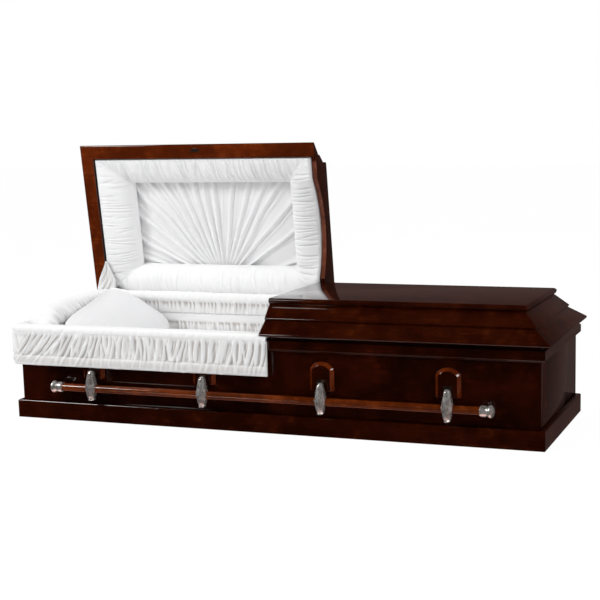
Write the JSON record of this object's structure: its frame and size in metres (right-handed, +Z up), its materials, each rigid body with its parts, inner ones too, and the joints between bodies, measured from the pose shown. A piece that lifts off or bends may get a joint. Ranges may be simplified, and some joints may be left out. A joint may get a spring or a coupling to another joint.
{
  "type": "funeral casket",
  "caption": "Half-couch wooden casket with a hinged lid in two halves, white shirred cloth interior, pillow, skirt over the rail and swing-bar handles.",
  "frame": {"origin": "middle of the underside, on the floor plane", "axes": "+X along the casket from the head end to the foot end, -Y out of the front, +Z up"},
  "size_m": [2.1358, 0.8187, 1.0484],
  "materials": {
    "dark_wood": "gloss",
    "bar_wood": "gloss",
    "plain_wood": "matte",
    "silver_metal": "polished",
    "dark_metal": "satin",
    "white_cloth": "matte",
    "pillow_satin": "satin"
  },
  "bodies": {
    "casket_body": {"back_bracket_1": "dark_metal", "back_bracket_2": "dark_metal", "back_bracket_3": "dark_metal", "back_bracket_4": "dark_metal", "back_lug_1": "dark_wood", "back_lug_2": "dark_wood", "back_lug_3": "dark_wood", "back_lug_4": "dark_wood", "back_panel": "dark_wood", "base_moulding_back": "dark_wood", "base_moulding_foot": "dark_wood", "base_moulding_front": "dark_wood", "base_moulding_head": "dark_wood", "bed_frame": "plain_wood", "body_lining": "white_cloth", "bottom_board": "plain_wood", "foot_end_panel": "dark_wood", "front_bracket_1": "dark_metal", "front_bracket_2": "dark_metal", "front_bracket_3": "dark_metal", "front_bracket_4": "dark_metal", "front_lug_1": "dark_wood", "front_lug_2": "dark_wood", "front_lug_3": "dark_wood", "front_lug_4": "dark_wood", "front_panel": "dark_wood", "head_end_panel": "dark_wood", "lid_hinge": "dark_metal", "mattress": "white_cloth", "overlay_skirt": "white_cloth", "pillow": "pillow_satin", "top_moulding_back": "dark_wood", "top_moulding_foot": "dark_wood", "top_moulding_front": "dark_wood", "top_moulding_head": "dark_wood"},
    "head_lid": {"head_lid_crown": "dark_wood", "head_lid_header": "dark_wood", "head_lid_puff_front": "white_cloth", "head_lid_puff_head": "white_cloth", "head_lid_puff_hinge": "white_cloth", "head_lid_puff_seam": "white_cloth", "head_lid_sunburst": "white_cloth", "head_lid_top_board": "dark_wood"},
    "foot_lid": {"foot_lid_crown": "dark_wood", "foot_lid_header": "dark_wood", "foot_lid_top_board": "dark_wood"},
    "front_handle": {"front_arm_1": "silver_metal", "front_arm_2": "silver_metal", "front_arm_3": "silver_metal", "front_arm_4": "silver_metal", "front_bar": "bar_wood", "front_tip_foot": "silver_metal", "front_tip_head": "silver_metal"},
    "back_handle": {"back_arm_1": "silver_metal", "back_arm_2": "silver_metal", "back_arm_3": "silver_metal", "back_arm_4": "silver_metal", "back_bar": "bar_wood", "back_tip_foot": "silver_metal", "back_tip_head": "silver_metal"}
  },
  "joints": [
    {"name": "head_lid_hinge", "type": "hinge", "parent": "casket_body", "child": "head_lid", "pos_m": [0, 0.331, 0.368], "axis": [1, 0, 0], "range_deg": [0, 82.5]},
    {"name": "foot_lid_hinge", "type": "hinge", "parent": "casket_body", "child": "foot_lid", "pos_m": [0, 0.331, 0.368], "axis": [1, 0, 0], "range_deg": [-82.5, 0]},
    {"name": "front_handle_swing", "type": "hinge", "parent": "casket_body", "child": "front_handle", "pos_m": [0, -0.355, 0.196], "axis": [1, 0, 0], "range_deg": [-90, 0]},
    {"name": "back_handle_swing", "type": "hinge", "parent": "casket_body", "child": "back_handle", "pos_m": [0, 0.355, 0.196], "axis": [1, 0, 0], "range_deg": [0, 90]}
  ]
}
